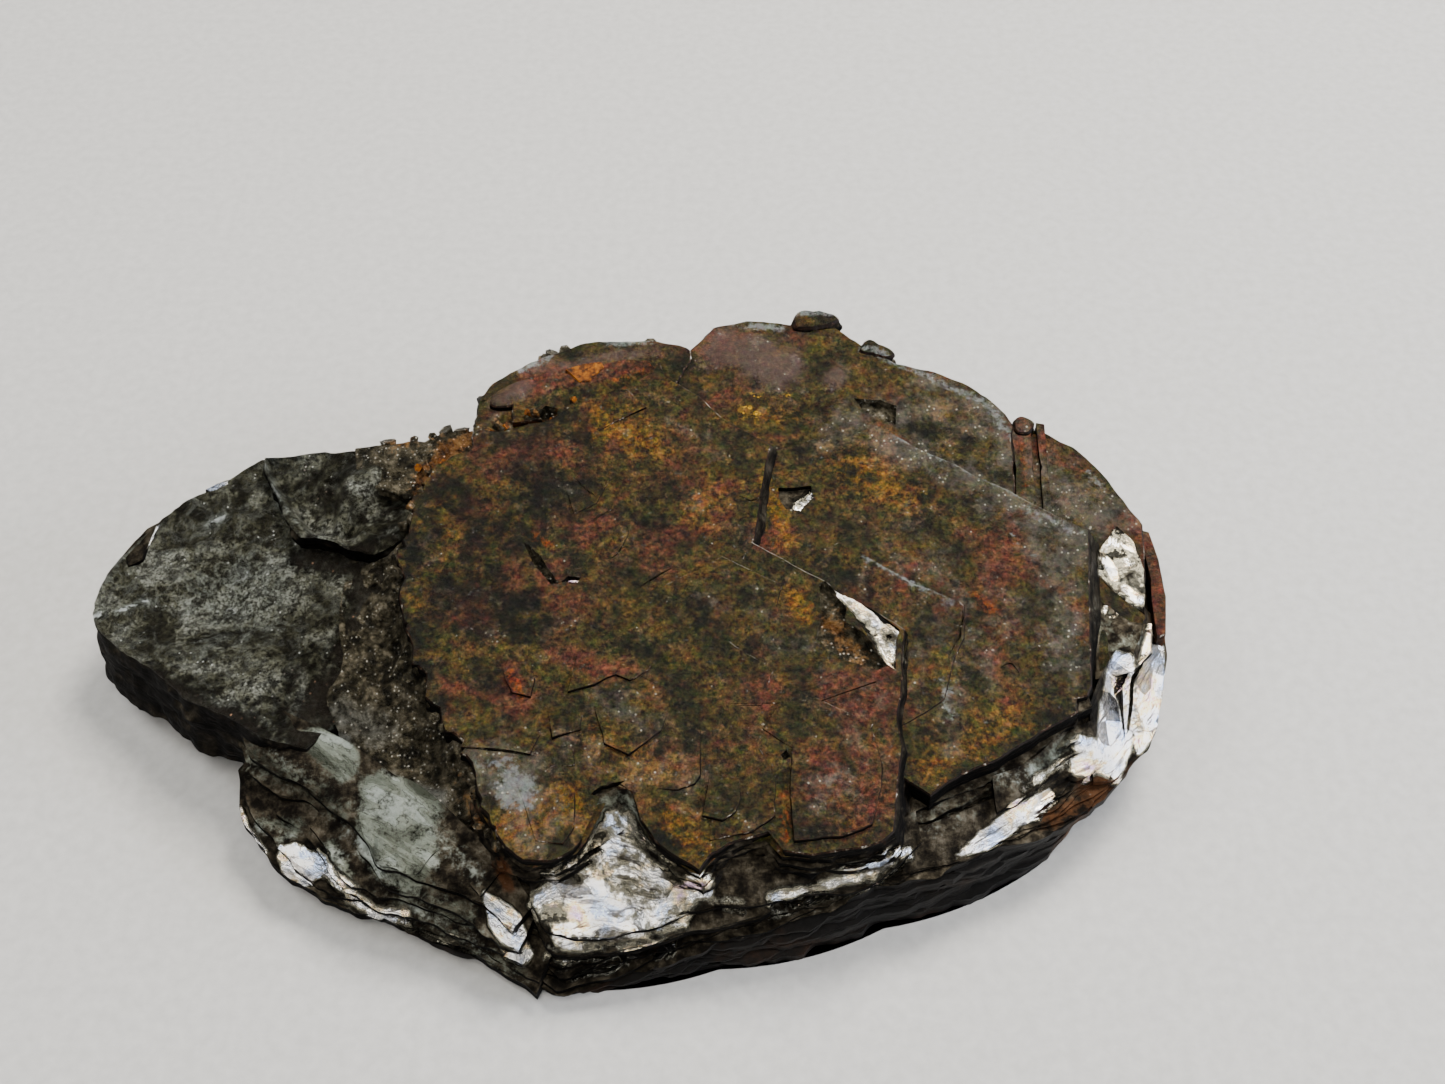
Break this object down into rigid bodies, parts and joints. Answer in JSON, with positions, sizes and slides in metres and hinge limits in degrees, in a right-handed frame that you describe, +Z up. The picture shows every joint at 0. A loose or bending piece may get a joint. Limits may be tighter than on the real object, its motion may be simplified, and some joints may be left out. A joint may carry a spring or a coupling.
{
  "type": "hematite rose crystal cluster",
  "caption": "Lens-shaped cluster of intergrown hexagonal hematite plates with a stepped, rust-stained crown, bright laminated rims and a flat worn foot.",
  "frame": {"origin": "centre of the bounding box, on the ground plane under the stone", "axes": "+X along the length toward the stepped right rim, +Y toward the back, +Z up, out of the crown"},
  "size_m": [0.0702, 0.0466, 0.0125],
  "materials": {
    "hematite": "metallic hematite, rust-stained on the crown faces, mirror-bright on the broken rims"
  },
  "bodies": {
    "root": {"hematite_rose": "hematite"}
  },
  "joints": []
}
